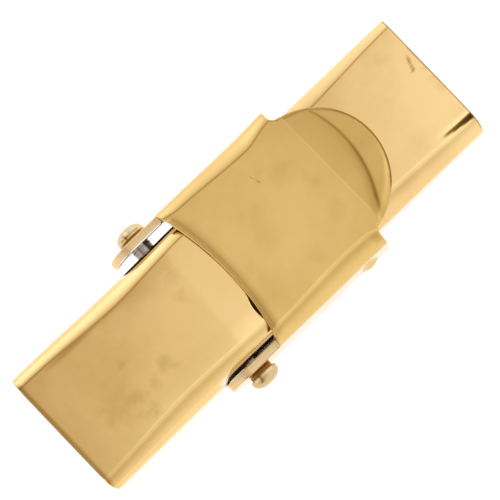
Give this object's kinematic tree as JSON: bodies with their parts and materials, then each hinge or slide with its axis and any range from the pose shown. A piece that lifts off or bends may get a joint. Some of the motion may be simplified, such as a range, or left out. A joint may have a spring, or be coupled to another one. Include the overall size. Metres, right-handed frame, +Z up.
{
  "type": "cord clasp",
  "caption": "Fold-over cord clasp for a double cord watch bracelet: two arched sheet metal cord channels, and a hinged lever with a thumb tongue that closes over the joint.",
  "frame": {"origin": "on the surface that the closed clasp rests on, below the middle of its box", "axes": "+X along the clasp from the hinge channel's cord mouth to the catch channel's, +Y across it, +Z up out of the lever plate"},
  "size_m": [0.0244, 0.01, 0.0041],
  "materials": {
    "channel_gold": "polished gold-filled sheet with light tarnish and fine wear",
    "lever_gold": "polished gold-filled sheet with fine wear",
    "cap_gold": "polished, turned domed cap",
    "pin_steel": "plain ground pin"
  },
  "bodies": {
    "channels": {"hinge_channel": "channel_gold", "catch_channel": "channel_gold"},
    "lever": {"lever": "lever_gold", "hinge_pin": "pin_steel", "pin_cap_near": "cap_gold", "pin_cap_far": "cap_gold"}
  },
  "joints": [
    {"name": "lever_hinge", "type": "hinge", "parent": "channels", "child": "lever", "pos_m": [-0.0034, 0, 0.00165], "axis": [0, -1, 0], "range_deg": [0, 100]}
  ]
}
